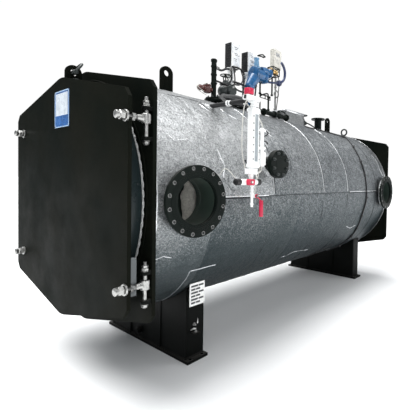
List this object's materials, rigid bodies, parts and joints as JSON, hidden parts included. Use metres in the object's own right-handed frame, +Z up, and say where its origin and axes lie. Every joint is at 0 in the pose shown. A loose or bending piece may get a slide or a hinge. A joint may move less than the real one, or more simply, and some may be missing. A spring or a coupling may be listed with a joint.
{
  "type": "industrial boiler",
  "caption": "Horizontal fire-tube industrial boiler with foil-clad lagging, gabled end plates, side flue nozzles, ridge valves, a level gauge and a hinged front door.",
  "frame": {"origin": "on the floor, at the middle of the front saddle's base plate", "axes": "+X along the boiler from the front door to the rear plate, +Z up, the nozzles and gauge on the -Y side"},
  "size_m": [4.4024, 2.112, 3.35],
  "materials": {
    "black_paint": "satin",
    "lagging_foil": "satin",
    "boiler_steel": "matte",
    "door_lining": "matte",
    "rope_seal": "matte",
    "nozzle_steel": "satin",
    "bright_bolt": "satin",
    "sign_white": "gloss",
    "plate_silver": "satin",
    "valve_grey": "satin",
    "valve_brown": "satin",
    "valve_blue": "gloss",
    "lever_blue": "gloss",
    "brass": "satin",
    "white_paint": "satin",
    "probe_box": "satin",
    "switch_box": "satin",
    "red_grip": "gloss"
  },
  "bodies": {
    "boiler": {"pressure_shell": "boiler_steel", "lagging_front_nozzle_mat": "lagging_foil", "lagging_front_wrap": "lagging_foil", "lagging_middle_top": "lagging_foil", "lagging_middle_bottom": "lagging_foil", "lagging_rear_nozzle_mat": "lagging_foil", "lagging_rear_wrap": "lagging_foil", "front_tube_plate": "black_paint", "rear_tube_plate": "black_paint", "rear_cover": "black_paint", "rear_lifting_eye": "black_paint", "front_saddle": "black_paint", "front_saddle_base": "black_paint", "rear_saddle": "black_paint", "rear_saddle_base": "black_paint", "front_flue_nozzle": "nozzle_steel", "rear_flue_nozzle": "nozzle_steel", "blind_nozzle": "nozzle_steel", "steam_outlet": "nozzle_steel", "front_pad": "nozzle_steel", "rear_pad": "nozzle_steel", "lifting_lugs": "black_paint", "stop_valve": "valve_grey", "stop_valve_column": "black_paint", "feed_valve": "valve_brown", "level_probe_necks": "white_paint", "level_probe_boxes": "probe_box", "safety_valve_body": "valve_blue", "safety_valve_outlet": "brass", "pressure_switch": "switch_box", "drain_pipe": "black_paint", "vent_valve": "valve_grey", "lagged_hump": "lagging_foil", "level_gauge": "white_paint", "gauge_top_cock": "white_paint", "gauge_bottom_cock": "white_paint", "gauge_standpipe": "white_paint", "hinge_pins": "bright_bolt", "hinge_ears": "black_paint", "rating_plate": "plate_silver"},
    "door": {"door_plate": "black_paint", "door_lining": "door_lining", "door_rope_seal": "rope_seal", "door_bolts": "bright_bolt", "door_lifting_lug": "black_paint", "door_sign": "sign_white"},
    "vent_wheel": {"vent_handwheel": "valve_grey"},
    "easing_lever": {"safety_valve_lever": "lever_blue"},
    "top_knob": {"gauge_top_knob": "red_grip"},
    "bottom_handle": {"gauge_bottom_handle": "red_grip"},
    "drain_lever": {"gauge_drain_lever": "red_grip"}
  },
  "joints": [
    {"name": "door_hinge", "type": "hinge", "parent": "boiler", "child": "door", "pos_m": [-0.655, -0.948, 1.38], "axis": [0, 0, 1], "range_deg": [0, 90]},
    {"name": "vent_wheel_turn", "type": "hinge", "parent": "boiler", "child": "vent_wheel", "pos_m": [2.46, 0, 2.535], "axis": [0, 0, 1], "continuous": true},
    {"name": "easing_lever_lift", "type": "hinge", "parent": "boiler", "child": "easing_lever", "pos_m": [1.44, -0.12, 2.775], "axis": [0, -1, 0], "range_deg": [0, 8]},
    {"name": "gauge_top_turn", "type": "hinge", "parent": "boiler", "child": "top_knob", "pos_m": [0.121, -1.08, 2.23], "axis": [0, 0, 1], "range_deg": [0, 90]},
    {"name": "gauge_bottom_turn", "type": "hinge", "parent": "boiler", "child": "bottom_handle", "pos_m": [0.111, -1.124, 1.518], "axis": [0, -1, 0], "range_deg": [0, 90]},
    {"name": "gauge_drain_turn", "type": "hinge", "parent": "boiler", "child": "drain_lever", "pos_m": [0.205, -1.103, 1.405], "axis": [0, -1, 0], "range_deg": [0, 90]}
  ]
}
